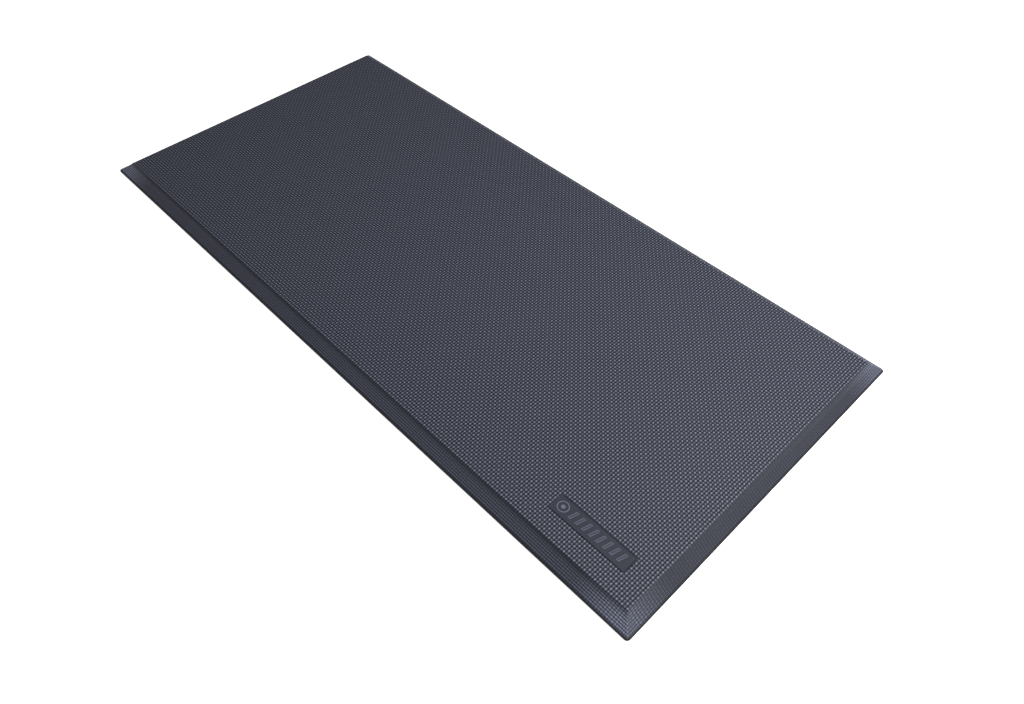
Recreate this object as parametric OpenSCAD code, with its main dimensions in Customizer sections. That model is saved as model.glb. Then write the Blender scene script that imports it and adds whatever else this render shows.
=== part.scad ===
// Anti fatigue mat: a foam slab with ramped edges, wrapped in an embossed cover
// and closed underneath by a ribbed grip sheet. Millimetres, +Z up.
// The origin is the middle of the footprint, on the floor. +X runs along the length.

/* [Mat] */
// Length of the footprint, along X
mat_length = 900; // [600:10:1500]
// Width of the footprint, along Y
mat_width = 450; // [300:10:900]
// Height from the floor to the standing surface
mat_height = 15; // [14:0.5:22]
// Radius of the footprint's four corners
corner_radius = 4; // [2:0.5:12]

/* [Ramped edge] */
// Height of the upright toe at the foot of the ramp
toe_height = 2.6; // [2.6:0.1:4]
// Horizontal run of the ramp, from the toe to the knee
ramp_run = 11; // [9:0.5:30]
// Horizontal run of the steeper shoulder above the knee
shoulder_run = 5; // [4:0.5:10]
// Height that the shoulder climbs to the standing surface
shoulder_rise = 5.4; // [4:0.1:6]

/* [Layers] */
// Thickness of the embossed cover
cover_thickness = 1.2; // [0.8:0.1:1.4]
// Thickness of the grip sheet on the floor
base_thickness = 1.2; // [1:0.1:1.4]
// Thickness of each adhesive film
film_thickness = 0.2; // [0.1:0.05:0.2]

/* [Maker's panel] */
// Length of the smooth panel sunk in the cover
panel_length = 93; // [60:1:140]
// Width of the smooth panel
panel_width = 21.6; // [16:0.1:30]
// Depth of the panel below the standing surface
panel_depth = 0.5; // [0.3:0.05:0.6]
// Distance from the panel's right end to the mat's right edge
panel_from_end = 40.8; // [30:0.1:80]
// Distance from the panel's front side to the mat's front edge
panel_from_front = 41.2; // [30:0.1:80]
// Height of the raised ring and bars on the panel's floor
motif_height = 0.3; // [0.2:0.05:0.3]

/* [Grip sheet] */
// Distance between neighbouring grip ribs
rib_pitch = 12; // [8:0.5:20]
// Width of the groove between two ribs
groove_width = 3; // [2:0.5:5]
// Depth of the grooves
groove_depth = 0.5; // [0.3:0.05:0.6]
// Plain border between the grooves and the footprint's edge
grip_border = 16; // [10:1:30]

/* [Hidden] */
arc_facets = 64;
past = 1;

half_length = mat_length / 2;
half_width = mat_width / 2;
cover_foot_z = base_thickness + film_thickness;
knee_height = mat_height - shoulder_rise;
ramp_angle = atan2(knee_height - toe_height, ramp_run);
shoulder_angle = atan2(shoulder_rise, shoulder_run);

panel_centre_x = half_length - panel_from_end - panel_length / 2;
panel_centre_y = panel_from_front + panel_width / 2 - half_width;
panel_corner_radius = 1.5;
ring_radius = 6.5;
ring_line = 1.3;
ring_dot_radius = 2.4;
bar_pitch = 8.4;
bar_width = 3.4;
bar_height = 11;
bar_lean = 3;
motif_start = -panel_length / 2 + 10.5;
bars_start = motif_start + 13;
bar_count = 1 + floor((panel_length / 2 - 10 - bars_start) / bar_pitch);

groove_span = mat_width - 2 * grip_border - groove_width;
groove_count = 2 * floor(groove_span / rib_pitch / 2);
groove_length = mat_length - 2 * grip_border;

// Outward direction of a face that slopes down and out at an angle from level
function outward(angle) = [sin(angle), cos(angle)];

// The corner between two faces, moved inwards by the same depth from both of them
function inset_corner(corner, a, b, depth) =
    corner - depth * (outward(a) + outward(b)) / (1 + outward(a) * outward(b));

// Right half of the mat's cross section from the floor side up, inset by a depth
function half_section(half, floor_z, depth) = [
    [half - depth, floor_z],
    inset_corner([half, toe_height], 90, ramp_angle, depth),
    inset_corner([half - ramp_run, knee_height], ramp_angle, shoulder_angle, depth),
    inset_corner([half - ramp_run - shoulder_run, mat_height], shoulder_angle, 0, depth)
];

function mirrored(points) =
    [for (i = [len(points) - 1 : -1 : 0]) [-points[i][0], points[i][1]]];

function full_section(half, floor_z, depth) =
    concat(half_section(half, floor_z, depth), mirrored(half_section(half, floor_z, depth)));

module rounded_rectangle(length, width, radius) {
    square([length - 2 * radius, width], center = true);
    square([length, width - 2 * radius], center = true);
    for (x = [-1, 1], y = [-1, 1])
        translate([x * (length / 2 - radius), y * (width / 2 - radius)])
            circle(r = radius, $fn = arc_facets);
}

module upright_footprint(depth, low, high) {
    translate([0, 0, low])
        linear_extrude(height = high - low)
            rounded_rectangle(mat_length - 2 * depth, mat_width - 2 * depth,
                              corner_radius - depth);
}

// Two crossing prisms share the ramps on all four sides, mitred at the corners
module ramped_slab(floor_z, depth) {
    intersection() {
        rotate([90, 0, 0])
            linear_extrude(height = mat_width, center = true)
                polygon(full_section(half_length, floor_z, depth));
        rotate([90, 0, 90])
            linear_extrude(height = mat_length, center = true)
                polygon(full_section(half_width, floor_z, depth));
        upright_footprint(depth, floor_z, mat_height);
    }
}

module ramped_shell(outer_depth, inner_depth) {
    difference() {
        ramped_slab(cover_foot_z, outer_depth);
        ramped_slab(cover_foot_z - past, inner_depth);
    }
}

module leaning_bar() {
    polygon([
        [-bar_width / 2 - bar_lean / 2, -bar_height / 2],
        [bar_width / 2 - bar_lean / 2, -bar_height / 2],
        [bar_width / 2 + bar_lean / 2, bar_height / 2],
        [-bar_width / 2 + bar_lean / 2, bar_height / 2]
    ]);
}

module panel_motif() {
    translate([motif_start, 0]) {
        difference() {
            circle(r = ring_radius, $fn = arc_facets);
            circle(r = ring_radius - ring_line, $fn = arc_facets);
        }
        circle(r = ring_dot_radius, $fn = arc_facets);
    }
    for (i = [0 : bar_count - 1])
        translate([bars_start + i * bar_pitch, 0])
            leaning_bar();
}

module grip_base() {
    color([0.10, 0.10, 0.11])
        difference() {
            upright_footprint(0, 0, base_thickness);
            for (i = [-groove_count / 2 : groove_count / 2 - 1])
                translate([0, (i + 0.5) * rib_pitch, groove_depth / 2 - past / 2])
                    cube([groove_length, groove_width, groove_depth + past], center = true);
        }
}

module base_bond_film() {
    color([0.08, 0.08, 0.09])
        upright_footprint(0, base_thickness, cover_foot_z);
}

module foam_core() {
    color([0.20, 0.21, 0.24])
        ramped_slab(cover_foot_z, cover_thickness + film_thickness);
}

module cover_bond_film() {
    color([0.06, 0.06, 0.07])
        ramped_shell(cover_thickness, cover_thickness + film_thickness);
}

module top_cover() {
    color([0.27, 0.28, 0.33]) {
        difference() {
            ramped_shell(0, cover_thickness);
            translate([panel_centre_x, panel_centre_y, mat_height - panel_depth])
                linear_extrude(height = panel_depth + past)
                    difference() {
                        rounded_rectangle(panel_length, panel_width, panel_corner_radius);
                        panel_motif();
                    }
            translate([panel_centre_x, panel_centre_y, mat_height - panel_depth + motif_height])
                linear_extrude(height = panel_depth + past)
                    panel_motif();
        }
    }
}

grip_base();
base_bond_film();
foam_core();
cover_bond_film();
top_cover();
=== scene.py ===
# %% [markdown]
# # An anti-fatigue mat
# The mat is a slab of soft foam wrapped in a thin elastomer cover. The cover is pressed in a
# mould that gives it a woven face, ramped edges and one smooth panel. A ribbed rubber sheet
# closes it underneath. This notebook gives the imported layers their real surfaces: the weave
# is true relief, the tread underneath is true ribs, and each finish is a node material.

# %% Load the frame
import math

import bmesh
import bpy
import numpy as np
from mathutils import Matrix, Vector
from mathutils.geometry import delaunay_2d_cdt


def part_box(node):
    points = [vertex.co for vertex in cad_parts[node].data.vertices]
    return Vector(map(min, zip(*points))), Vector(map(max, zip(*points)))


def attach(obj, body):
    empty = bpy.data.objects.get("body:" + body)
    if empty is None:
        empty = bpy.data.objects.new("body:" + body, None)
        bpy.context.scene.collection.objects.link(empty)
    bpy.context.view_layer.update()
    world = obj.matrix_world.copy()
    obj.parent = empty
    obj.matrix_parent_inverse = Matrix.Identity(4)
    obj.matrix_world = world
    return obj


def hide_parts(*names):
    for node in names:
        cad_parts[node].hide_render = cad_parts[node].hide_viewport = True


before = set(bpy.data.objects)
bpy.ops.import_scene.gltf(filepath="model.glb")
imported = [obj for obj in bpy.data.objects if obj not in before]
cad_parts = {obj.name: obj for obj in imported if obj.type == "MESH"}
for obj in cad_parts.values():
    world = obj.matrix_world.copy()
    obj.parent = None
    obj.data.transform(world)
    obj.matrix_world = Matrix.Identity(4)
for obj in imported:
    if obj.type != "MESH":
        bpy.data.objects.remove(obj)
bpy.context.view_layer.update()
print("layers:", ", ".join(sorted(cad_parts)))

# %% [markdown]
# ## Sizes
# Every length is in metres. The footprint and the layer thicknesses are measured on the
# packed layers, so this file can't disagree with them. The folds of the ramped edge aren't
# corners of any layer's box, so they are named here, as the mould maker would give them.

# %% Sizes taken from the layers
MM = 0.001
cover_low, cover_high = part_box("top_cover")
film_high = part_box("cover_bond_film")[1]
core_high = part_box("foam_core")[1]
base_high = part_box("grip_base")[1]

half_length = cover_high.x
half_width = cover_high.y
top_height = cover_high.z
foot_height = cover_low.z
base_height = base_high.z
cover_thickness = cover_high.x - film_high.x
core_depth = cover_high.x - core_high.x
print(f"mat {2 * half_length:.3f} x {2 * half_width:.3f} x {top_height:.4f} m")

# %% Sizes of the ramped edge
corner_radius = 4 * MM
toe_height = 2.6 * MM
ramp_run = 11 * MM
shoulder_run = 5 * MM
shoulder_rise = 5.4 * MM

ramp_rise = top_height - shoulder_rise - toe_height
ramp_angle = math.atan2(ramp_rise, ramp_run)
shoulder_angle = math.atan2(shoulder_rise, shoulder_run)
ramp_length = math.hypot(ramp_run, ramp_rise)
shoulder_length = math.hypot(shoulder_run, shoulder_rise)
plateau_half_length = half_length - ramp_run - shoulder_run
plateau_half_width = half_width - ramp_run - shoulder_run
print(f"ramp {math.degrees(ramp_angle):.0f} degrees, "
      f"shoulder {math.degrees(shoulder_angle):.0f} degrees")

# %% [markdown]
# ## Writing node trees as sums
# A relief is a formula, and a formula is easiest to read as one. `Field` stands for a value
# that flows through a node tree, and adding or multiplying two of them places the Math node
# that does it. The same helper serves Geometry Nodes and shaders, because both use that node.

# %% A value in a node tree
def connect(tree, value, socket):
    """Feeds a socket from a Field or another socket, or sets it to a plain value."""
    if isinstance(value, Field):
        tree.links.new(value.socket, socket)
    elif isinstance(value, bpy.types.NodeSocket):
        tree.links.new(value, socket)
    else:
        socket.default_value = value


def add_node(tree, kind, inputs=None, **settings):
    """A new node with its settings and its named inputs filled in."""
    node = tree.nodes.new(kind)
    for name, value in settings.items():
        setattr(node, name, value)
    for name, value in (inputs or {}).items():
        connect(tree, value, node.inputs[name])
    return node


class Field:
    """A value flowing through a node tree. Arithmetic on it adds Math nodes."""

    def __init__(self, tree, socket):
        self.tree = tree
        self.socket = socket

    def math(self, operation, *others):
        node = self.tree.nodes.new("ShaderNodeMath")
        node.operation = operation
        for socket, value in zip(node.inputs, (self, *others)):
            connect(self.tree, value, socket)
        return Field(self.tree, node.outputs[0])

    def __add__(self, other):
        return self.math("ADD", other)

    def __sub__(self, other):
        return self.math("SUBTRACT", other)

    def __mul__(self, other):
        return self.math("MULTIPLY", other)

    def __truediv__(self, other):
        return self.math("DIVIDE", other)

    def __neg__(self):
        return self.math("MULTIPLY", -1)

    def size(self):
        return self.math("ABSOLUTE")

    def limited(self, low, high):
        return self.math("MAXIMUM", low).math("MINIMUM", high)


def new_tree(name, kind, inputs, outputs):
    """A node group with named sockets. Returns it, its inputs as Fields, and its output node."""
    tree = bpy.data.node_groups.new(name, kind)
    for socket_name, socket_type in inputs.items():
        tree.interface.new_socket(name=socket_name, in_out="INPUT", socket_type=socket_type)
    for socket_name, socket_type in outputs.items():
        tree.interface.new_socket(name=socket_name, in_out="OUTPUT", socket_type=socket_type)
    entry = tree.nodes.new("NodeGroupInput")
    values = {name: Field(tree, entry.outputs[name]) for name in inputs}
    return tree, values, tree.nodes.new("NodeGroupOutput")


FLOAT, INT = "NodeSocketFloat", "NodeSocketInt"
GEOMETRY, MATERIAL = "NodeSocketGeometry", "NodeSocketMaterial"
COLOR, VECTOR = "NodeSocketColor", "NodeSocketVector"


def run_geometry_nodes(source, tree, values):
    """Runs a tree on an object and returns its result as a plain mesh, with no modifier left."""
    modifier = source.modifiers.new(tree.name, "NODES")
    modifier.node_group = tree
    for item in tree.interface.items_tree:
        if item.in_out == "INPUT" and item.name in values:
            modifier[item.identifier] = values[item.name]
    depsgraph = bpy.context.evaluated_depsgraph_get()
    depsgraph.update()
    mesh = bpy.data.meshes.new_from_object(source.evaluated_get(depsgraph), depsgraph=depsgraph)
    source.modifiers.remove(modifier)
    return mesh


def new_object(name, mesh):
    made = bpy.data.objects.new(name, mesh)
    bpy.context.scene.collection.objects.link(made)
    return made


def finish_all_over(mesh, finish):
    """Gives every face the one finish, also those that were added after the tree ran."""
    mesh.materials.clear()
    mesh.materials.append(finish)
    mesh.polygons.foreach_set("material_index", np.zeros(len(mesh.polygons), np.int32))


# %% [markdown]
# ## The finishes
# The materials come first, because a geometry tree ends by setting one. They are empty here
# and get their nodes further down, when every surface that they cover is known.

# %% Name the materials
cover_finish = bpy.data.materials.new("slate_elastomer")
grip_finish = bpy.data.materials.new("black_grip_rubber")
foam_finish = bpy.data.materials.new("charcoal_foam")
film_finish = bpy.data.materials.new("adhesive_film")

# %% [markdown]
# ## The woven cover: its lattice
# The face imitates a plain weave: threads along X and threads along Y pass over and under
# each other in turn. A grid with four steps to each thread is fine enough to show a round
# thread, and coarse enough that the whole mat stays under a million and a half triangles. The
# flat top holds a whole number of threads each way, and eight finer ones run down the edge.

# %% Count the threads
STEPS_PER_THREAD = 4
THREADS_LONG = 140
THREADS_WIDE = 58
THREADS_DOWN_EDGE = 8

thread_x = plateau_half_length / THREADS_LONG
thread_y = plateau_half_width / THREADS_WIDE
edge_steps = THREADS_DOWN_EDGE * STEPS_PER_THREAD
edge_step = (ramp_length + shoulder_length) / edge_steps
columns = 2 * (THREADS_LONG * STEPS_PER_THREAD + edge_steps) + 1
rows = 2 * (THREADS_WIDE * STEPS_PER_THREAD + edge_steps) + 1
print(f"threads every {thread_x / MM:.2f} and {thread_y / MM:.2f} mm, grid {columns} x {rows}")

# %% The smooth panel's place, on whole threads
PANEL_THREADS = {"left": 102, "right": 132, "front": -51, "back": -45}
panel_left = PANEL_THREADS["left"] * thread_x
panel_right = PANEL_THREADS["right"] * thread_x
panel_front = PANEL_THREADS["front"] * thread_y
panel_back = PANEL_THREADS["back"] * thread_y
panel_centre = Vector(((panel_left + panel_right) / 2, (panel_front + panel_back) / 2))
print(f"panel {(panel_right - panel_left) / MM:.1f} x {(panel_back - panel_front) / MM:.1f} mm")

# %% [markdown]
# ## The woven cover: folding the grid over the edge
# The grid starts flat, one unit to a step. Each axis is folded on its own: steps on the flat
# top keep their spacing, and steps past its edge follow the steep shoulder and then the ramp,
# which gives both a place in plan and a drop. Where two ramps meet, the deeper drop wins, and
# that makes the mitre at each corner. It is the rule that a mould's cutter follows too.

# %% Fields that fold one axis
NEARLY_ZERO = 1e-9


def folded(steps, plateau_steps, step, edge):
    """Place in plan, drop below the top, and distance down the edge, for one axis."""
    along = steps.size()
    down = (along - plateau_steps).math("MAXIMUM", 0) * edge["Edge Step"]
    on_shoulder = down.math("MINIMUM", edge["Shoulder Length"])
    on_ramp = down - on_shoulder
    steep, gentle = edge["Shoulder Angle"], edge["Ramp Angle"]
    run = on_shoulder * steep.math("COSINE") + on_ramp * gentle.math("COSINE")
    drop = on_shoulder * steep.math("SINE") + on_ramp * gentle.math("SINE")
    place = along.math("MINIMUM", plateau_steps) * step + run
    return place * steps.math("SIGN"), drop, down


def rounded_corner(x, y, sizes):
    """Pulls the footprint's square corners in to a quarter circle, and moves nothing else."""
    radius = sizes["Corner Radius"]
    past_x = (x.size() - (sizes["Half Length"] - radius)).math("MAXIMUM", 0)
    past_y = (y.size() - (sizes["Half Width"] - radius)).math("MAXIMUM", 0)
    diagonal = (past_x * past_x + past_y * past_y).math("SQRT").math("MAXIMUM", NEARLY_ZERO)
    keep = past_x.math("MAXIMUM", past_y) / diagonal
    round_x = (x.size() - past_x + past_x * keep) * x.math("SIGN")
    round_y = (y.size() - past_y + past_y * keep) * y.math("SIGN")
    return round_x, round_y


# %% [markdown]
# ## The woven cover: one thread over, one thread under
# A thread is round across and wavy along. Counting in threads, the wave is a cosine that
# turns over from one thread to the next, so every crossing has one thread up and one down.
# The face is whichever thread is higher. A max of two formulas does that, with no modelling
# of separate threads, and leaves the small pits where four threads meet; their darkness is
# painted shade.

# %% Fields of the weave
def thread_bulge(count):
    """1 on a thread's spine, falling along an arch to 0 at its sides."""
    return ((count.math("FRACT") - 0.5) * math.pi).math("COSINE")


def thread_wave(along, across):
    """1 where a thread passes over and -1 where it passes under."""
    return ((along - 0.5 + across.math("FLOOR")) * math.pi).math("COSINE")


def weave_and_painted_light(count_x, count_y, swing, cross_lift):
    """Height of a plain weave, 1 on its crowns and 0 in its pits."""
    long_thread = thread_wave(count_x, count_y) * swing + thread_bulge(count_y)
    cross_thread = thread_bulge(count_x) - thread_wave(count_y, count_x) * swing
    face = long_thread.math("MAXIMUM", cross_thread + cross_lift)
    return (face / (swing + cross_lift + 1)).limited(0, 1)


# %% [markdown]
# ## The woven cover: the tree
# Grid, fold, relief, then the faces of the smooth panel are taken out for a finer patch.
# The height of the weave is also stored on the points, so that the material can paint a
# highlight on the crowns and painted shade in the pits; the crowns, which shoes polish, are
# also smoother. The mould is nearly smooth on the edge. Fine lines of the long threads begin on
# the steep shoulder and run along the ramps of the long sides, much fainter on the short ones,
# and dots of the weave show near the corners. There the stored tone is painted light too:
# painted highlights on the lines and dots, stronger near the corners, and painted shade at the
# toe.

# %% Build the cover's tree
def within(value, low, high):
    """1 where low < value < high, else 0."""
    return value.math("GREATER_THAN", low) * value.math("LESS_THAN", high)


def position_fields(tree):
    """The X, Y and Z of each point."""
    position = add_node(tree, "GeometryNodeInputPosition")
    split = add_node(tree, "ShaderNodeSeparateXYZ", {"Vector": position.outputs["Position"]})
    return [Field(tree, split.outputs[axis]) for axis in "XYZ"]


def step_grid(tree, given):
    """A flat grid with one unit to a step, centred on the origin."""
    return add_node(tree, "GeometryNodeMeshGrid", {
        "Size X": given["Columns"] - 1, "Size Y": given["Rows"] - 1,
        "Vertices X": given["Columns"], "Vertices Y": given["Rows"]})


def moved(tree, geometry, x, y, z):
    place = add_node(tree, "ShaderNodeCombineXYZ", {"X": x, "Y": y, "Z": z})
    return add_node(tree, "GeometryNodeSetPosition", {
        "Geometry": geometry, "Position": place.outputs["Vector"]})


def finish_tree(tree, geometry, given, result):
    """Every tree ends the same way: real geometry, shaded smooth, with its finish."""
    real = add_node(tree, "GeometryNodeRealizeInstances", {"Geometry": geometry})
    smooth = add_node(tree, "GeometryNodeSetShadeSmooth", {"Geometry": real.outputs[0]})
    finish = add_node(tree, "GeometryNodeSetMaterial", {
        "Geometry": smooth.outputs[0], "Material": given["Finish"]})
    tree.links.new(finish.outputs[0], result.inputs[0])


EDGE_SIZES = ["Plateau Steps X", "Plateau Steps Y", "Step X", "Step Y", "Edge Step",
              "Shoulder Length", "Shoulder Angle", "Ramp Angle", "Half Length", "Half Width",
              "Corner Radius", "Top Height"]


LINE_START, LINE_GROWTH = 0.2, 2
DOTS_FAR, DOTS_NEAR = 0.3, 0.7
# Painted light on the edge: a base tone, painted highlights on the lines and dots, and painted
# shade at the toe.
EDGE_TONE, LINE_PAINTED_HIGHLIGHT, DOT_PAINTED_HIGHLIGHT, CORNER_DOT_PAINTED_HIGHLIGHT = 0.45, 0.16, 0.20, 0.22
TOE_PAINTED_SHADE, ABOVE_TOE_TONE = 0.4, 0.6
COVER_SIZES = ["Steps per Thread", "Weave Depth", "Thread Swing", "Cross Lift", "Ramp Length",
               "Toe Fade", "Ramp Line Depth", "Short End Share", "Ramp Weave Depth",
               "Corner Margin", "Corner Reach", "Panel Left", "Panel Right", "Panel Front",
               "Panel Back"]


def short_of(place, half_size, margin):
    """How far a place is from the nearer end of its axis, 0 inside the margin."""
    return (half_size - place.size() - margin).math("MAXIMUM", 0)


def woven_cover_tree():
    names = EDGE_SIZES + COVER_SIZES
    inputs = {"Columns": INT, "Rows": INT, "Finish": MATERIAL}
    inputs.update({name: FLOAT for name in names})
    tree, given, result = new_tree("Woven cover", "GeometryNodeTree", inputs, {"Cover": GEOMETRY})

    grid = step_grid(tree, given)
    steps_x, steps_y, _ = position_fields(tree)
    x, drop_x, down_x = folded(steps_x, given["Plateau Steps X"], given["Step X"], given)
    y, drop_y, down_y = folded(steps_y, given["Plateau Steps Y"], given["Step Y"], given)
    x, y = rounded_corner(x, y, given)
    drop = drop_x.math("MAXIMUM", drop_y)
    down = down_x.math("MAXIMUM", down_y)

    count_x = steps_x / given["Steps per Thread"]
    count_y = steps_y / given["Steps per Thread"]
    weave = weave_and_painted_light(count_x, count_y, given["Thread Swing"], given["Cross Lift"])
    off_top = (down / given["Edge Step"]).limited(0, 1)
    shoulder = given["Shoulder Length"]
    lines_show = ((down - shoulder * LINE_START) / shoulder * LINE_GROWTH).limited(0, 1)
    top_relief = (weave - 1) * given["Weave Depth"] * (-off_top + 1)
    faces_x = (drop_x - drop_y).math("GREATER_THAN", 0)
    share = faces_x * (given["Short End Share"] - 1) + 1
    line = thread_bulge(count_y) * lines_show * share
    line_relief = (line - 1) * given["Ramp Line Depth"] * off_top
    from_corner = (short_of(x, given["Half Length"], given["Corner Margin"])
                   + short_of(y, given["Half Width"], given["Corner Margin"]))
    near_corner = (-from_corner / given["Corner Reach"] + 1).limited(0, 1)
    dot_share = near_corner * DOTS_NEAR + DOTS_FAR
    dot_relief = (weave - 1) * given["Ramp Weave Depth"] * off_top * dot_share
    z = given["Top Height"] - drop + top_relief + line_relief + dot_relief

    # The edge's stored tone is painted light: highlights on the lines and dots, and shade in a
    # band above the toe.
    to_toe = -down + shoulder + given["Ramp Length"]
    above_toe = (to_toe / given["Toe Fade"]).limited(0, 1)
    dot_painted_highlight = near_corner * CORNER_DOT_PAINTED_HIGHLIGHT + DOT_PAINTED_HIGHLIGHT
    edge_painted_light = ((line * LINE_PAINTED_HIGHLIGHT + weave * dot_painted_highlight + EDGE_TONE)
                  * (above_toe * ABOVE_TOE_TONE + TOE_PAINTED_SHADE))
    shade = weave * (-off_top + 1) + edge_painted_light * off_top
    stored = add_node(tree, "GeometryNodeStoreNamedAttribute", {
        "Geometry": grid.outputs["Mesh"], "Name": "weave_and_painted_light", "Value": shade},
        data_type="FLOAT", domain="POINT")
    folded_grid = moved(tree, stored.outputs[0], x, y, z)

    place_x, place_y, _ = position_fields(tree)
    in_panel = (within(place_x, given["Panel Left"], given["Panel Right"])
                * within(place_y, given["Panel Front"], given["Panel Back"]))
    opened = add_node(tree, "GeometryNodeDeleteGeometry", {
        "Geometry": folded_grid.outputs[0], "Selection": in_panel.math("GREATER_THAN", 0.5)},
        domain="FACE")
    finish_tree(tree, opened.outputs[0], given, result)
    return tree


edge_values = {
    "Shoulder Length": shoulder_length, "Shoulder Angle": shoulder_angle,
    "Ramp Angle": ramp_angle, "Corner Radius": corner_radius}

seed_mesh = bpy.data.meshes.new("seed")
cover_seed = new_object("cover_seed", seed_mesh)
cover_mesh = run_geometry_nodes(cover_seed, woven_cover_tree(), {
    **edge_values, "Columns": columns, "Rows": rows, "Finish": cover_finish,
    "Plateau Steps X": float(THREADS_LONG * STEPS_PER_THREAD),
    "Plateau Steps Y": float(THREADS_WIDE * STEPS_PER_THREAD),
    "Step X": thread_x / STEPS_PER_THREAD, "Step Y": thread_y / STEPS_PER_THREAD,
    "Steps per Thread": float(STEPS_PER_THREAD), "Edge Step": edge_step,
    "Half Length": half_length, "Half Width": half_width, "Top Height": top_height,
    "Weave Depth": 1.0 * MM, "Thread Swing": 0.65, "Cross Lift": 0.15,
    "Ramp Length": ramp_length, "Toe Fade": 2.5 * MM, "Ramp Line Depth": 0.35 * MM,
    "Short End Share": 0.15, "Ramp Weave Depth": 0.3 * MM,
    "Corner Margin": 20 * MM, "Corner Reach": 50 * MM,
    "Panel Left": panel_left, "Panel Right": panel_right,
    "Panel Front": panel_front, "Panel Back": panel_back})
print("woven faces:", len(cover_mesh.polygons))

# %% [markdown]
# ## The woven cover: the smooth panel
# The mould has a flat plate let into it here, so the panel is a shallow recess with a thin
# lip and a raised motif. The motif is a plain ring, a dot and a row of leaning bars. Outlines
# like these don't fit a square grid, so a triangulation with fixed edges joins them, and each
# outline brings its own height. Its outermost outline is the weave's own open edge, point
# for point, so the two merge without a gap.

# %% Outlines of the panel
PANEL_DEPTH = 0.5 * MM
PANEL_CORNER_RADIUS = 1 * MM
# Inset from the panel's edge and depth below the top: a narrow flat lip, then the floor.
LIP_PROFILE = [(0.5 * MM, 0.05 * MM), (1.0 * MM, 0.05 * MM), (1.5 * MM, PANEL_DEPTH)]
# Stored tones of the panel: lip and floor alike, and a painted highlight on the raised motif.
LIP_SHADE, FLOOR_SHADE, RAISED_PAINTED_HIGHLIGHT = 0.63, 0.62, 0.85
panel_floor = top_height - PANEL_DEPTH


def rounded_outline(low, high, radius, corner_steps=6):
    """A rectangle from low to high with round corners, anticlockwise."""
    outline = []
    corners = ((high.x, high.y, 1, 1), (low.x, high.y, -1, 1),
               (low.x, low.y, -1, -1), (high.x, low.y, 1, -1))
    for index, (x, y, side_x, side_y) in enumerate(corners):
        centre = Vector((x - side_x * radius, y - side_y * radius))
        for step in range(corner_steps + 1):
            angle = (index + step / corner_steps) * math.pi / 2
            outline.append(centre + radius * Vector((math.cos(angle), math.sin(angle))))
    return outline


def circle_outline(centre, radius, count=40):
    angles = [2 * math.pi * step / count for step in range(count)]
    return [centre + radius * Vector((math.cos(angle), math.sin(angle))) for angle in angles]


def leaning_outline(centre, width, height, lean):
    """A bar whose top is shifted sideways."""
    half = Vector((width / 2, height / 2))
    return [centre + Vector((side * half.x + end * lean / 2, end * half.y))
            for side, end in ((1, 1), (-1, 1), (-1, -1), (1, -1))]


# %% Outlines with heights, joined by triangles
KEEP_INSIDE, MERGE_WITHIN = 1, 1e-7


class Patch:
    """Outlines with heights, to be joined by one triangulation."""

    def __init__(self):
        self.points, self.heights, self.shades, self.edges = [], [], [], []

    def outline(self, points, height, shade):
        first, count = len(self.points), len(points)
        self.points += [Vector(point[:2]) for point in points]
        self.heights += height if isinstance(height, list) else [height] * count
        self.shades += [shade] * count
        self.edges += [(first + index, first + (index + 1) % count) for index in range(count)]
        return list(range(first, first + count))

    def triangles(self, boundary):
        flat_points, _, faces, origins, _, _ = delaunay_2d_cdt(
            self.points, self.edges, [boundary], KEEP_INSIDE, MERGE_WITHIN)
        sources = [origin[0] for origin in origins]
        points = [Vector((*point, self.heights[source]))
                  for point, source in zip(flat_points, sources)]
        return points, [self.shades[source] for source in sources], faces


# %% Join the panel to the weave
cover = bmesh.new()
cover.from_mesh(cover_mesh)
painted_light_layer = cover.verts.layers.float["weave_and_painted_light"]


def open_loops(shell):
    """The closed loops of edges that have one face, longest first."""
    # A dictionary keeps its order, unlike a set, so the loops come out the same on every run.
    loose = dict.fromkeys(edge for edge in shell.edges if edge.is_boundary)
    loops = []
    while loose:
        edge, _ = loose.popitem()
        start, corner = edge.verts
        loop = [start]
        while corner != start:
            loop.append(corner)
            edge = next(other for other in corner.link_edges if other in loose)
            del loose[edge]
            corner = edge.other_vert(corner)
        loops.append(loop)
    return sorted(loops, key=len, reverse=True)


toe_loop, panel_loop = open_loops(cover)
print("open edges: toe", len(toe_loop), "points, panel", len(panel_loop), "points")

patch = Patch()
boundary = patch.outline([vert.co for vert in panel_loop], [vert.co.z for vert in panel_loop],
                         LIP_SHADE)
panel_low, panel_high = Vector((panel_left, panel_front)), Vector((panel_right, panel_back))
for inset, depth in LIP_PROFILE:
    shift = Vector((inset, inset))
    patch.outline(rounded_outline(panel_low + shift, panel_high - shift, PANEL_CORNER_RADIUS),
                  top_height - depth, LIP_SHADE)

# %% Raise the motif
MOTIF_HEIGHT = 0.3 * MM
MOTIF_START = -36 * MM
MOTIF_CHAMFER = 0.15 * MM
RING_RADIUS, RING_LINE, DOT_RADIUS = 6.5 * MM, 1.3 * MM, 2.4 * MM
BAR_COUNT, BARS_START, BAR_PITCH = 8, 13 * MM, 8.4 * MM
BAR_WIDTH, BAR_HEIGHT, BAR_LEAN = 3.4 * MM, 11 * MM, 3 * MM
# Each bar is a raised outline with a sunken middle: what is trimmed off its sides, and its rise.
BAR_TRIMS = [(0, 0), (0.3 * MM, 1), (1.3 * MM, 1), (1.5 * MM, 0.3)]


def add_motif_outline(outline, rise):
    """An outline at a share of the motif's height, with a painted highlight where it stands up.
    """
    shade = FLOOR_SHADE + (RAISED_PAINTED_HIGHLIGHT - FLOOR_SHADE) * rise
    patch.outline(outline, panel_floor + rise * MOTIF_HEIGHT, shade)


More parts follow.
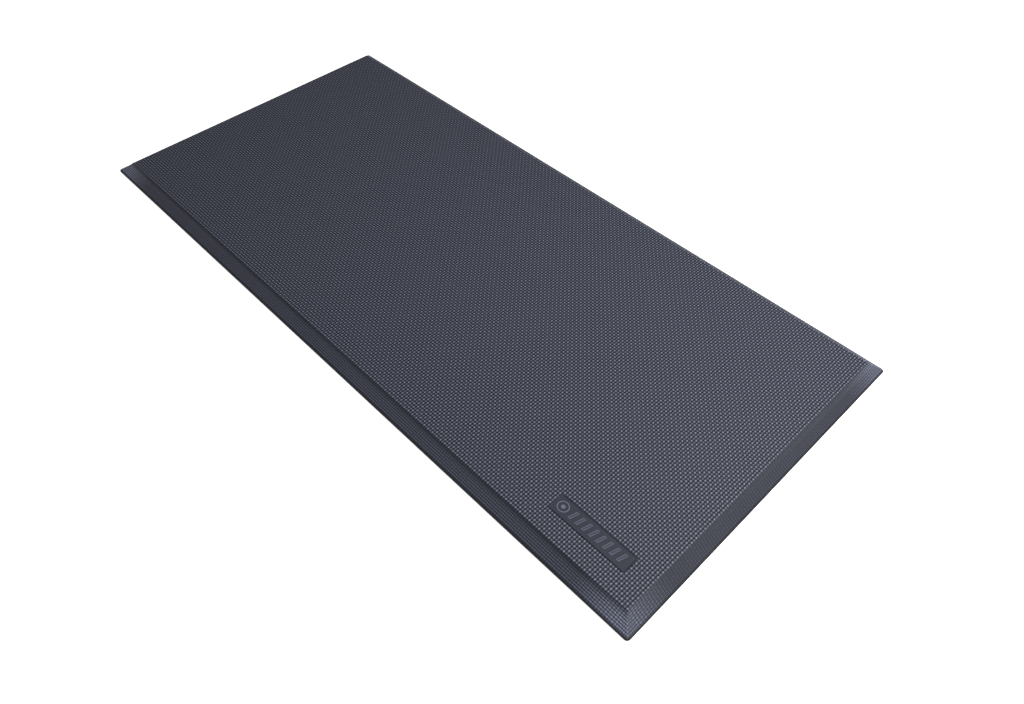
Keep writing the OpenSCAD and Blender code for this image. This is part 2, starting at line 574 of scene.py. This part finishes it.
ring_centre = panel_centre + Vector((MOTIF_START, 0))
ring_inside = RING_RADIUS - RING_LINE
for radius, rise in ((RING_RADIUS, 0), (RING_RADIUS - MOTIF_CHAMFER, 1),
                     (ring_inside + MOTIF_CHAMFER, 1), (ring_inside, 0),
                     (DOT_RADIUS, 0), (DOT_RADIUS - MOTIF_CHAMFER, 1)):
    add_motif_outline(circle_outline(ring_centre, radius), rise)
for index in range(BAR_COUNT):
    bar_centre = ring_centre + Vector((BARS_START + BAR_PITCH * index, 0))
    for trim, rise in BAR_TRIMS:
        add_motif_outline(leaning_outline(bar_centre, BAR_WIDTH - trim, BAR_HEIGHT - trim,
                                          BAR_LEAN), rise)

patch_points, patch_shades, patch_faces = patch.triangles(boundary)
patch_verts = [cover.verts.new(point) for point in patch_points]
for vert, shade in zip(patch_verts, patch_shades):
    vert[painted_light_layer] = shade
# The toe's own edge gets no tone at all: a line of painted shade along the toe.
for vert in toe_loop:
    vert[painted_light_layer] = 0
for corners in patch_faces:
    cover.faces.new([patch_verts[corner] for corner in corners])
print("panel faces:", len(patch_faces))

# %% [markdown]
# ## The woven cover: the rim and the lining
# The cover is a skin, so it needs an underside. From the toe it drops to its foot, turns in
# by its own thickness, and climbs back under the ramp, the shoulder and the flat top. Each
# turn is one ring of points, made from the toe's ring by moving it inwards. Lining and face
# then close to one airtight shell that the foam fills.

# %% Close the shell
def inset_point(point, inset):
    """The footprint's edge moved inwards. Past the corner's own radius the corner turns sharp."""
    core = Vector((half_length - corner_radius, half_width - corner_radius))
    nearest = Vector((max(-core.x, min(core.x, point.x)), max(-core.y, min(core.y, point.y))))
    out = Vector(point[:2]) - nearest
    if inset < corner_radius:
        return Vector(point[:2]) - out.normalized() * inset
    return Vector((max(-(half_length - inset), min(half_length - inset, point.x)),
                   max(-(half_width - inset), min(half_width - inset, point.y))))


def lining_profile(thickness):
    """Insets and heights of the lining, found by moving each slope inwards by the thickness."""
    ramp_slope, shoulder_slope = math.tan(ramp_angle), math.tan(shoulder_angle)
    ramp_start = toe_height - thickness / math.cos(ramp_angle)
    shoulder_start = (toe_height + ramp_rise - ramp_run * shoulder_slope
                      - thickness / math.cos(shoulder_angle))
    knee = (shoulder_start - ramp_start) / (ramp_slope - shoulder_slope)
    ceiling = top_height - thickness
    return [(thickness, foot_height),
            (thickness, ramp_start + thickness * ramp_slope),
            (knee, ramp_start + knee * ramp_slope),
            ((ceiling - shoulder_start) / shoulder_slope, ceiling)]


def add_ring(shell, previous, points):
    """A ring of points joined to the previous one by faces."""
    ring = [shell.verts.new(point) for point in points]
    for index in range(len(ring)):
        following = (index + 1) % len(ring)
        shell.faces.new((previous[index], previous[following], ring[following], ring[index]))
    return ring


MERGE_DISTANCE = 1e-6

ring = add_ring(cover, toe_loop, [Vector((vert.co.x, vert.co.y, foot_height))
                                  for vert in toe_loop])
for inset, height in lining_profile(cover_thickness):
    ring = add_ring(cover, ring, [Vector((*inset_point(vert.co, inset), height))
                                  for vert in toe_loop])
# One point for each quarter of the mat, so that a single quad can close the flat ceiling.
cap_inset, cap_height = lining_profile(cover_thickness)[-1]
cap_x, cap_y = half_length - cap_inset * 2, half_width - cap_inset * 2
add_ring(cover, ring, [Vector((math.copysign(cap_x, vert.co.x), math.copysign(cap_y, vert.co.y),
                               cap_height)) for vert in toe_loop])
bmesh.ops.remove_doubles(cover, verts=cover.verts, dist=MERGE_DISTANCE)
bmesh.ops.holes_fill(cover, edges=[edge for edge in cover.edges if edge.is_boundary], sides=0)
bmesh.ops.recalc_face_normals(cover, faces=cover.faces)
cover_is_closed = all(edge.is_manifold for edge in cover.edges)
cover.to_mesh(cover_mesh)
cover.free()
finish_all_over(cover_mesh, cover_finish)
bpy.data.objects.remove(cover_seed)
woven_cover = new_object("woven_cover", cover_mesh)
print("cover faces:", len(cover_mesh.polygons), "closed:", cover_is_closed)

# %% [markdown]
# ## The grip base: ribs from one tile
# The sheet underneath is black rubber with long grooves, which let it grip a hard floor. Short
# cross cuts part each rib into pads, which bend with the mat. The pattern repeats exactly, so
# only one tile is modelled: a flat pad with a chamfer, standing in a shallow trough. A tree
# lays copies of it along the grooves and across them, realises them and merges their shared
# edges, so the whole field is one sheet.

# %% Model one tile
RIB_COUNT, PADS_PER_RIB = 33, 35
rib_pitch = 12 * MM
groove_width = 3 * MM
groove_depth = 0.5 * MM
grip_border = 16 * MM
groove_half_length = half_length - grip_border
cross_cut_width = 1.6 * MM
pad_chamfer = 0.2 * MM
field_margin = 0.4 * MM
field_half_length = groove_half_length - field_margin
field_half_width = RIB_COUNT * rib_pitch / 2
pad_pitch = 2 * field_half_length / PADS_PER_RIB


def rectangle_ring(half_x, half_y, z):
    return [Vector((x * half_x, y * half_y, z)) for x, y in ((-1, -1), (1, -1), (1, 1), (-1, 1))]


def pad_tile_mesh():
    tile = bmesh.new()
    pad_x, pad_y = (pad_pitch - cross_cut_width) / 2, (rib_pitch - groove_width) / 2
    trough = rectangle_ring(pad_pitch / 2, rib_pitch / 2, groove_depth)
    ring = [tile.verts.new(point) for point in trough]
    for inset, height in ((0, groove_depth), (0, pad_chamfer), (pad_chamfer, 0)):
        ring = add_ring(tile, ring, rectangle_ring(pad_x - inset, pad_y - inset, height))
    tile.faces.new(ring)
    mesh = bpy.data.meshes.new("pad_tile")
    tile.to_mesh(mesh)
    tile.free()
    return mesh


# %% Lay the tiles with a tree
def grip_field_tree():
    inputs = {"Tile": GEOMETRY, "Pads per Rib": INT, "Ribs": INT, "Pad Pitch": FLOAT,
              "Rib Pitch": FLOAT, "Finish": MATERIAL}
    tree, given, result = new_tree("Grip field", "GeometryNodeTree", inputs, {"Field": GEOMETRY})
    places = add_node(tree, "GeometryNodeMeshGrid", {
        "Size X": (given["Pads per Rib"] - 1) * given["Pad Pitch"],
        "Size Y": (given["Ribs"] - 1) * given["Rib Pitch"],
        "Vertices X": given["Pads per Rib"], "Vertices Y": given["Ribs"]})
    tiles = add_node(tree, "GeometryNodeInstanceOnPoints", {
        "Points": places.outputs["Mesh"], "Instance": given["Tile"]})
    real = add_node(tree, "GeometryNodeRealizeInstances", {"Geometry": tiles.outputs[0]})
    joined = add_node(tree, "GeometryNodeMergeByDistance", {
        "Geometry": real.outputs[0], "Distance": 1e-5})
    finish_tree(tree, joined.outputs[0], given, result)
    return tree


tile_object = new_object("pad_tile", pad_tile_mesh())
grip_mesh = run_geometry_nodes(tile_object, grip_field_tree(), {
    "Pads per Rib": PADS_PER_RIB, "Ribs": RIB_COUNT, "Pad Pitch": pad_pitch,
    "Rib Pitch": rib_pitch, "Finish": grip_finish})
bpy.data.objects.remove(tile_object)
print("grip field:", len(grip_mesh.polygons), "faces")

# %% [markdown]
# ## The grip base: border and upper side
# Around the field the sheet is flat, so that its whole rim is glued and lies on the floor.
# The flat part has a hole the shape of the field, which Blender's triangle fill can close
# between two outlines. The side is about a millimetre high, its lower edge a little rounded,
# and the upper side is plain because the foam is glued to it.

# %% Close the sheet
RIM_CORNER_STEPS = 10
# Inset and height of each ring of the side: the rounded lower edge, then straight up.
RIM_PROFILE = [(0.25 * MM, 0), (0.07 * MM, 0.07 * MM), (0, 0.25 * MM), (0, base_height)]


def fill_between(shell, *rings):
    """Flat triangles between outlines that lie in one plane."""
    pairs = [(ring[index - 1], ring[index]) for ring in rings for index in range(len(ring))]
    edges = [shell.edges.get(pair) or shell.edges.new(pair) for pair in pairs]
    bmesh.ops.triangle_fill(shell, use_beauty=True, use_dissolve=False, edges=edges)


def rim_ring(inset, height):
    """The sheet's outline moved inwards, at a height."""
    corner = Vector((half_length - inset, half_width - inset))
    outline = rounded_outline(-corner, corner, corner_radius - inset, RIM_CORNER_STEPS)
    return [Vector((*point, height)) for point in outline]


def end_wall_ring(height):
    """The field's outline moved out to the wall at the ends and sides of the grooves."""
    return [Vector((vert.co.x * stretch.x, vert.co.y * stretch.y, height)) for vert in field_loop]


sheet = bmesh.new()
sheet.from_mesh(grip_mesh)
field_loop = open_loops(sheet)[0]
stretch = Vector((groove_half_length / field_half_length,
                  (field_half_width + groove_width / 2) / field_half_width))
wall_top = add_ring(sheet, field_loop, end_wall_ring(groove_depth))
wall_foot = add_ring(sheet, wall_top, end_wall_ring(0))

rim = [sheet.verts.new(point) for point in rim_ring(*RIM_PROFILE[0])]
fill_between(sheet, wall_foot, rim)
for inset, height in RIM_PROFILE[1:]:
    rim = add_ring(sheet, rim, rim_ring(inset, height))
fill_between(sheet, rim)
bmesh.ops.recalc_face_normals(sheet, faces=sheet.faces)
sheet_is_closed = all(edge.is_manifold for edge in sheet.edges)
sheet.to_mesh(grip_mesh)
sheet.free()
finish_all_over(grip_mesh, grip_finish)
grip_mesh.polygons.foreach_set("use_smooth", np.zeros(len(grip_mesh.polygons), bool))
ribbed_sheet = new_object("ribbed_grip_sheet", grip_mesh)
print("grip sheet:", len(grip_mesh.polygons), "faces, closed:", sheet_is_closed)

# %% [markdown]
# ## The foam core
# The core is a slab of closed-cell foam, cut flat below and pared to the ramps above. It can't
# be seen in a finished mat, but the part can be opened layer by layer, so it has its own
# surface. The same folding rule shapes it, one cover thickness and one film further in, and
# a noise that only ever digs inwards gives the cut cells.

# %% Build the core's tree
def foam_core_tree():
    names = EDGE_SIZES + ["Cell Depth", "Cell Size"]
    inputs = {"Columns": INT, "Rows": INT, "Seed": FLOAT, "Finish": MATERIAL}
    inputs.update({name: FLOAT for name in names})
    tree, given, result = new_tree("Foam core", "GeometryNodeTree", inputs, {"Core": GEOMETRY})
    grid = step_grid(tree, given)
    steps_x, steps_y, _ = position_fields(tree)
    x, drop_x, _ = folded(steps_x, given["Plateau Steps X"], given["Step X"], given)
    y, drop_y, _ = folded(steps_y, given["Plateau Steps Y"], given["Step Y"], given)
    x, y = rounded_corner(x, y, given)
    z = given["Top Height"] - drop_x.math("MAXIMUM", drop_y)
    slab = moved(tree, grid.outputs["Mesh"], x, y, z)
    cells = add_node(tree, "ShaderNodeTexNoise", {
        "W": given["Seed"], "Scale": given["Cell Size"].math("POWER", -1),
        "Detail": 1.0}, noise_dimensions="4D")
    place_x, place_y, place_z = position_fields(tree)
    dug = place_z - Field(tree, cells.outputs["Fac"]) * given["Cell Depth"]
    rough_slab = moved(tree, slab.outputs[0], place_x, place_y, dug)
    finish_tree(tree, rough_slab.outputs[0], given, result)
    return tree


CORE_EDGE_STEPS = 8
CORE_STEP = 3 * MM
((_, core_foot), (core_edge, core_toe),
 (core_knee, core_knee_height), (core_plateau, core_top)) = lining_profile(core_depth)
core_half_length, core_half_width = half_length - core_plateau, half_width - core_plateau
core_steps_x = round(core_half_length / CORE_STEP)
core_steps_y = round(core_half_width / CORE_STEP)
core_shoulder = math.hypot(core_plateau - core_knee, core_top - core_knee_height)
core_ramp = math.hypot(core_knee - core_edge, core_knee_height - core_toe)
core_seed = new_object("core_seed", seed_mesh)
core_mesh = run_geometry_nodes(core_seed, foam_core_tree(), {
    **edge_values, "Columns": 2 * (core_steps_x + CORE_EDGE_STEPS) + 1,
    "Rows": 2 * (core_steps_y + CORE_EDGE_STEPS) + 1, "Seed": 3.0,
    "Finish": foam_finish, "Cell Depth": 0.5 * MM, "Cell Size": 2.5 * MM,
    "Plateau Steps X": float(core_steps_x), "Plateau Steps Y": float(core_steps_y),
    "Step X": core_half_length / core_steps_x, "Step Y": core_half_width / core_steps_y,
    "Edge Step": (core_shoulder + core_ramp) / CORE_EDGE_STEPS,
    "Shoulder Length": core_shoulder,
    "Half Length": core_high.x, "Half Width": core_high.y,
    "Corner Radius": corner_radius - core_depth, "Top Height": core_top})
bpy.data.objects.remove(core_seed)

core = bmesh.new()
core.from_mesh(core_mesh)
core_loop = open_loops(core)[0]
foot_ring = add_ring(core, core_loop, [Vector((vert.co.x, vert.co.y, core_foot))
                                       for vert in core_loop])
fill_between(core, foot_ring)
bmesh.ops.recalc_face_normals(core, faces=core.faces)
core_is_closed = all(edge.is_manifold for edge in core.edges)
core.to_mesh(core_mesh)
core.free()
finish_all_over(core_mesh, foam_finish)
foam_core = new_object("cushion_core", core_mesh)
print("core faces:", len(core_mesh.polygons), "closed:", core_is_closed)

# %% [markdown]
# ## Shared effects: fine grain and handling
# Two effects are used by more than one finish, so each is built once as a node group. Fine
# grain is the surface left by a mould's matt texture, made of two sizes of noise. Handling is
# what use leaves behind: broad uneven patches where dust and the rub of shoes have settled.

# %% Build the shared groups
COARSE_GRAIN, SMALL_GRAIN = 1.4 * MM, 0.5 * MM
SPECKLE_FLOOR, SPECKLE_GAIN = 0.35, 2.5
BROAD_PATCH, SMALL_PATCH, PATCH_DETAIL = 90 * MM, 12 * MM, 3.0
BROAD_SHARE, SMALL_SHARE = 0.7, 0.3


def noise(tree, coordinates, feature_size, detail=2.0):
    """Noise around 0.5 whose features are about the given size in metres."""
    node = add_node(tree, "ShaderNodeTexNoise", {
        "Vector": coordinates, "Scale": 1 / feature_size, "Detail": detail})
    return Field(tree, node.outputs["Fac"])


def fine_grain_group():
    tree, given, result = new_tree("Fine grain", "ShaderNodeTree",
                                   {"Coordinates": VECTOR, "Coarse Share": FLOAT},
                                   {"Height": FLOAT, "Speckle": FLOAT})
    coarse = noise(tree, given["Coordinates"], COARSE_GRAIN)
    fine = noise(tree, given["Coordinates"], SMALL_GRAIN)
    height = coarse * given["Coarse Share"] + fine * (-given["Coarse Share"] + 1)
    connect(tree, height, result.inputs["Height"])
    connect(tree, ((fine - SPECKLE_FLOOR) * SPECKLE_GAIN).limited(0, 1),
            result.inputs["Speckle"])
    return tree


def handling_group():
    tree, given, result = new_tree("Handling", "ShaderNodeTree",
                                   {"Coordinates": VECTOR, "Contrast": FLOAT}, {"Patches": FLOAT})
    broad = noise(tree, given["Coordinates"], BROAD_PATCH, PATCH_DETAIL)
    small = noise(tree, given["Coordinates"], SMALL_PATCH, PATCH_DETAIL)
    mixed = broad * BROAD_SHARE + small * SMALL_SHARE
    connect(tree, ((mixed - 0.5) * given["Contrast"] + 0.5).limited(0, 1),
            result.inputs["Patches"])
    return tree


fine_grain = fine_grain_group()
handling = handling_group()


def start_finish(material, **constants):
    """Empties a material and gives it a Principled shader with its plain settings."""
    material.use_nodes = True
    tree = material.node_tree
    tree.nodes.clear()
    shader = add_node(tree, "ShaderNodeBsdfPrincipled", constants)
    add_node(tree, "ShaderNodeOutputMaterial", {"Surface": shader.outputs[0]})
    coordinates = add_node(tree, "ShaderNodeTexCoord").outputs["Object"]
    return tree, shader, coordinates


def use_group(tree, group, inputs):
    node = tree.nodes.new("ShaderNodeGroup")
    node.node_tree = group
    for name, value in inputs.items():
        connect(tree, value, node.inputs[name])
    return {output.name: Field(tree, output) for output in node.outputs}


def mix_colors(tree, factor, first, second):
    """A colour between two others. Colours are given as red, green and blue."""
    node = add_node(tree, "ShaderNodeMix", data_type="RGBA")
    inputs = {socket.identifier: socket for socket in node.inputs}
    connect(tree, factor, inputs["Factor_Float"])
    for identifier, color in (("A_Color", first), ("B_Color", second)):
        connect(tree, (*color, 1) if isinstance(color, tuple) else color, inputs[identifier])
    return next(socket for socket in node.outputs if socket.identifier == "Result_Color")


def bump(tree, shader, height, distance):
    node = add_node(tree, "ShaderNodeBump", {"Height": height, "Distance": distance})
    tree.links.new(node.outputs["Normal"], shader.inputs["Normal"])


# %% [markdown]
# ## The slate elastomer
# The cover is a dark blue-grey rubber with a soft satin face. The crowns of the weave are
# smoother than the pits, because soles polish them and dust dulls the pits. Their colour is
# painted light: a painted highlight on the crowns and painted shade, nearly black, in the pits,
# and the stored tone also brings the painted light of the edge and the panel. That tone drives
# colour and roughness, and the patches of handling shift the colour a little over the whole mat.

# %% Finish of the cover
# Painted shade, nearly black, in the pits and a painted highlight on the crowns of the weave.
PIT_PAINTED_SHADE_COLOR, CROWN_PAINTED_HIGHLIGHT_COLOR = (0.002, 0.0022, 0.005), (0.305, 0.328, 0.445)
DUST_COLOR, SPECK_COLOR = (0.070, 0.074, 0.100), (0.12, 0.127, 0.17)
CROWN_SHARPNESS = 5.0
COVER_DUST, COVER_SPECKS = 0.08, 0.1
COVER_ROUGHNESS, CROWN_POLISH, DUST_DULLING = 0.52, -0.12, 0.08


def finish_cover():
    tree, shader, coordinates = start_finish(cover_finish, **{"Specular IOR Level": 0.2})
    # The stored tone: the weave's height on the top, painted light and shade on the edge and the
    # panel.
    stored = add_node(tree, "ShaderNodeAttribute", attribute_name="weave_and_painted_light")
    weave = Field(tree, stored.outputs["Fac"])
    grain = use_group(tree, fine_grain, {"Coordinates": coordinates, "Coarse Share": 0.4})
    patches = use_group(tree, handling, {"Coordinates": coordinates, "Contrast": 2.0})["Patches"]
    painted_highlight_share = weave.math("POWER", CROWN_SHARPNESS)
    woven = mix_colors(tree, painted_highlight_share, PIT_PAINTED_SHADE_COLOR, CROWN_PAINTED_HIGHLIGHT_COLOR)
    dusted = mix_colors(tree, patches * COVER_DUST, woven, DUST_COLOR)
    connect(tree, mix_colors(tree, grain["Speckle"] * COVER_SPECKS, dusted, SPECK_COLOR),
            shader.inputs["Base Color"])
    roughness = weave * CROWN_POLISH + patches * DUST_DULLING + COVER_ROUGHNESS
    connect(tree, roughness.limited(0, 1), shader.inputs["Roughness"])
    bump(tree, shader, grain["Height"], 0.06 * MM)


finish_cover()

# %% [markdown]
# ## Grip rubber, foam and adhesive
# The sheet underneath is a blacker, duller rubber with traces of dust on it. The foam is
# a charcoal grey with round cut cells, which are a Voronoi pattern both in the colour and in
# the bump; the hollow of each cell is painted darker, a painted shade. The adhesive is a thin
# dark film, a little glossier than what it joins.

# %% Finish of the grip sheet
RUBBER_COLOR, DUSTY_RUBBER_COLOR = (0.012, 0.012, 0.014), (0.035, 0.035, 0.038)
RUBBER_DUST = 0.3
RUBBER_ROUGHNESS, RUBBER_DULLING = 0.6, 0.15


def finish_grip():
    tree, shader, coordinates = start_finish(grip_finish, **{"Specular IOR Level": 0.4})
    grain = use_group(tree, fine_grain, {"Coordinates": coordinates, "Coarse Share": 0.6})
    patches = use_group(tree, handling, {"Coordinates": coordinates, "Contrast": 2.5})["Patches"]
    connect(tree, mix_colors(tree, patches * RUBBER_DUST, RUBBER_COLOR, DUSTY_RUBBER_COLOR),
            shader.inputs["Base Color"])
    connect(tree, (patches * RUBBER_DULLING + RUBBER_ROUGHNESS).limited(0, 1),
            shader.inputs["Roughness"])
    bump(tree, shader, grain["Height"], 0.08 * MM)


finish_grip()

# %% Finish of the foam
CELL_SIZE, CELL_CONTRAST = 1.8 * MM, 1.6
# The hollow of each cell is painted darker than its walls: painted shade.
CELL_HOLLOW_PAINTED_SHADE_COLOR, CELL_WALL_COLOR = (0.03, 0.03, 0.034), (0.16, 0.16, 0.17)
FOAM_ROUGHNESS, FOAM_SPECKS = 0.85, 0.1


def finish_foam():
    tree, shader, coordinates = start_finish(foam_finish, **{"Specular IOR Level": 0.2})
    cells = add_node(tree, "ShaderNodeTexVoronoi", {
        "Vector": coordinates, "Scale": 1 / CELL_SIZE})
    grain = use_group(tree, fine_grain, {"Coordinates": coordinates, "Coarse Share": 0.5})
    pores = (Field(tree, cells.outputs["Distance"]) * CELL_CONTRAST).limited(0, 1)
    connect(tree, mix_colors(tree, pores, CELL_HOLLOW_PAINTED_SHADE_COLOR, CELL_WALL_COLOR),
            shader.inputs["Base Color"])
    connect(tree, (grain["Speckle"] * FOAM_SPECKS + FOAM_ROUGHNESS).limited(0, 1),
            shader.inputs["Roughness"])
    bump(tree, shader, pores, 0.3 * MM)


finish_foam()

# %% Finish of the adhesive
FILM_COLOR, FILM_CLOUD_COLOR = (0.010, 0.010, 0.012), (0.022, 0.021, 0.022)
FILM_ROUGHNESS, FILM_SPECKS = 0.35, 0.2


def finish_film():
    tree, shader, coordinates = start_finish(film_finish, **{
        "Coat Weight": 0.3, "Coat Roughness": 0.2})
    grain = use_group(tree, fine_grain, {"Coordinates": coordinates, "Coarse Share": 0.5})
    patches = use_group(tree, handling, {"Coordinates": coordinates, "Contrast": 2.0})["Patches"]
    connect(tree, mix_colors(tree, patches, FILM_COLOR, FILM_CLOUD_COLOR),
            shader.inputs["Base Color"])
    connect(tree, (grain["Speckle"] * FILM_SPECKS + FILM_ROUGHNESS).limited(0, 1),
            shader.inputs["Roughness"])
    bump(tree, shader, grain["Height"], 0.04 * MM)


finish_film()

# %% [markdown]
# Each layer that was modelled here stands for its packed one. The two adhesive films are
# exact as they are, so they stay, and only take their finish.

# %% Attach the modelled layers, and finish the films
for piece, node, slot in ((woven_cover, "top_cover", "cover_elastomer"),
                          (foam_core, "foam_core", "cushion_foam"),
                          (ribbed_sheet, "grip_base", "grip_rubber")):
    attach(piece, "root")
    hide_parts(node)
    print(node, "is shown as", piece.name)

for name in ("base_bond_film", "cover_bond_film"):
    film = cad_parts[name]
    film.data.materials.clear()
    film.data.materials.append(film_finish)

# %% [markdown]
# ## Floor, light and camera
# The mat lies on a plain white floor that glows, as a studio's light table does, so shadows
# stay faint. One softbox stands to its right, a metre up and a little towards the far side.
# It rakes across the weave, so that every crown has a lit and a shaded side. The room adds a
# dim glow from everywhere, and only the camera sees it as a white backdrop. The floor lies a
# tenth of a millimetre low, because two faces in one plane would flicker. The camera stands
# above the front right corner and looks down along the mat, through a slightly shifted lens.

# %% Lay the floor
FLOOR_REACH = 40.0
FLOOR_HEIGHT = -0.1 * MM
FLOOR_GLOW = 0.85
floor_mesh = bpy.data.meshes.new("studio_floor")
floor_mesh.from_pydata(rectangle_ring(FLOOR_REACH, FLOOR_REACH, FLOOR_HEIGHT),
                       [], [(0, 1, 2, 3)])
studio_floor = new_object("studio_floor", floor_mesh)
floor_finish = bpy.data.materials.new("white_floor")
floor_mesh.materials.append(floor_finish)
start_finish(floor_finish, **{"Base Color": (0.8, 0.8, 0.8, 1), "Roughness": 0.9,
                              "Emission Color": (1, 1, 1, 1), "Emission Strength": FLOOR_GLOW})

# %% Set up the light
ROOM_GLOW, BACKDROP_GLOW = 0.30, 1.0
scene = bpy.context.scene
scene.view_settings.view_transform = "Standard"
scene.world = bpy.data.worlds.new("bright_room")
scene.world.use_nodes = True
room = scene.world.node_tree
backdrop = room.nodes["Background"]
backdrop.inputs["Color"].default_value = (1, 1, 1, 1)
seen_directly = Field(room, add_node(room, "ShaderNodeLightPath").outputs["Is Camera Ray"])
connect(room, seen_directly * (BACKDROP_GLOW - ROOM_GLOW) + ROOM_GLOW,
        backdrop.inputs["Strength"])


def add_softbox(name, place, target, width, height, power):
    """A rectangular area light that faces its target."""
    lamp = bpy.data.lights.new(name, "AREA")
    lamp.shape = "RECTANGLE"
    lamp.size, lamp.size_y = width, height
    lamp.energy = power
    softbox = bpy.data.objects.new(name, lamp)
    scene.collection.objects.link(softbox)
    softbox.location = place
    towards = Vector(target) - Vector(place)
    softbox.rotation_euler = towards.to_track_quat("-Z", "Y").to_euler()


add_softbox("right_softbox", place=(0.90, 0.32, 1.05), target=(0.1, 0, 0),
            width=0.5, height=0.4, power=19)

# %% Place the camera
CAMERA_PLACE = Vector((0.5337, -0.5286, 0.7071))
CAMERA_YAW = math.radians(137.37)
CAMERA_PITCH = math.radians(49.71)
CAMERA_ROLL = math.radians(0.10)
LENS_LENGTH, SENSOR_WIDTH, LENS_SHIFT = 28.73, 36, 0.0736
forward = Vector((math.cos(CAMERA_PITCH) * math.cos(CAMERA_YAW),
                  math.cos(CAMERA_PITCH) * math.sin(CAMERA_YAW), -math.sin(CAMERA_PITCH)))
level = Vector((math.sin(CAMERA_YAW), -math.cos(CAMERA_YAW), 0))
upright = level.cross(forward)
right = level * math.cos(CAMERA_ROLL) + upright * math.sin(CAMERA_ROLL)
up = right.cross(forward)

lens = bpy.data.cameras.new("studio_camera")
lens.lens = LENS_LENGTH
lens.sensor_width = SENSOR_WIDTH
lens.shift_x = LENS_SHIFT
studio_camera = bpy.data.objects.new("studio_camera", lens)
scene.collection.objects.link(studio_camera)
axes = Matrix((right, up, -forward)).transposed().to_4x4()
studio_camera.matrix_world = Matrix.Translation(CAMERA_PLACE) @ axes
scene.camera = studio_camera
